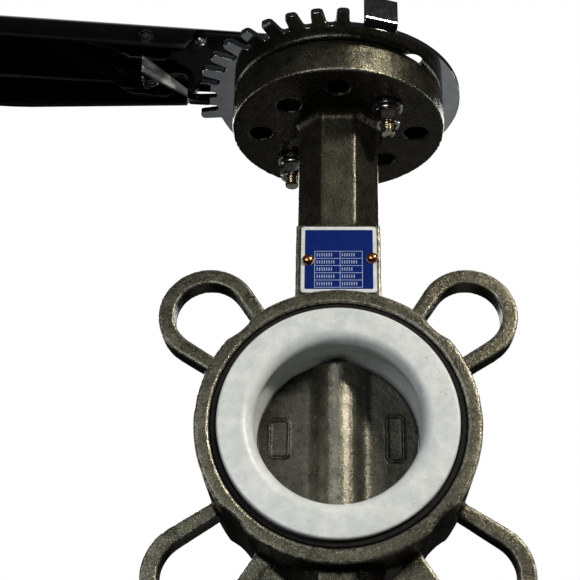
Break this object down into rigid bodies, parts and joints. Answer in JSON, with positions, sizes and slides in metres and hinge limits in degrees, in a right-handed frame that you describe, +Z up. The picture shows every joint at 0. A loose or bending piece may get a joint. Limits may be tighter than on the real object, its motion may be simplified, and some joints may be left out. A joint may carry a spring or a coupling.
{
  "type": "butterfly valve",
  "caption": "Lever-operated wafer butterfly valve with open bolt loops, white seat, long octagonal neck, round top flange, toothed notch plate and pressed handle with latch trigger.",
  "frame": {"origin": "where the stem's axis crosses the pipe's axis, at the centre of the closed disc", "axes": "+Z up along the stem to the handle, +Y along the pipe away from the front face, +X to the right; the handle points towards -X when the valve is closed"},
  "size_m": [0.2909, 0.0992, 0.2262],
  "materials": {
    "cast_stainless": "sand-cast and blasted stainless steel, speckled satin",
    "turned_stainless": "turned stainless steel",
    "zinc_steel": "bright zinc plate",
    "black_lacquer": "glossy black lacquer",
    "ptfe": "moulded white PTFE, faintly speckled",
    "black_rubber": "moulded black rubber",
    "plate_blue": "printed deep blue on bright sheet",
    "copper": "copper-plated",
    "bronze": "sintered bronze"
  },
  "bodies": {
    "valve_body": {"body": "cast_stainless", "ptfe_seat": "ptfe", "rubber_backing": "black_rubber", "lower_neck_bush": "bronze", "upper_neck_bush": "bronze", "seal_spacer": "ptfe", "lower_o_ring": "black_rubber", "upper_o_ring": "black_rubber", "stem_retaining_ring": "turned_stainless", "stub_bush": "bronze", "bottom_plug": "turned_stainless", "nameplate": "plate_blue", "rivet_left": "copper", "rivet_right": "copper", "notch_plate": "zinc_steel", "bolt_near": "zinc_steel", "bolt_far": "zinc_steel", "flat_washer_near": "zinc_steel", "flat_washer_far": "zinc_steel", "spring_washer_near": "zinc_steel", "spring_washer_far": "zinc_steel", "nut_near": "zinc_steel", "nut_far": "zinc_steel"},
    "handle_and_disc": {"disc": "cast_stainless", "upper_stem": "turned_stainless", "lower_stub_stem": "turned_stainless", "handle": "black_lacquer", "handle_hub": "black_lacquer", "handle_washer": "zinc_steel", "handle_screw": "zinc_steel", "latch_pin": "zinc_steel", "latch_spring": "turned_stainless"},
    "trigger": {"latch_trigger": "black_lacquer"}
  },
  "joints": [
    {"name": "handle_turn", "type": "hinge", "parent": "valve_body", "child": "handle_and_disc", "pos_m": [0, 0, 0], "axis": [0, 0, 1], "range_deg": [0, 90]},
    {"name": "latch_squeeze", "type": "hinge", "parent": "handle_and_disc", "child": "trigger", "pos_m": [-0.07173, -0.00628, 0.1465], "axis": [0.0872, -0.9962, 0], "range_deg": [0, 6.9], "stiffness_Nm_per_rad": 0.6, "springref_deg": 20.05}
  ]
}
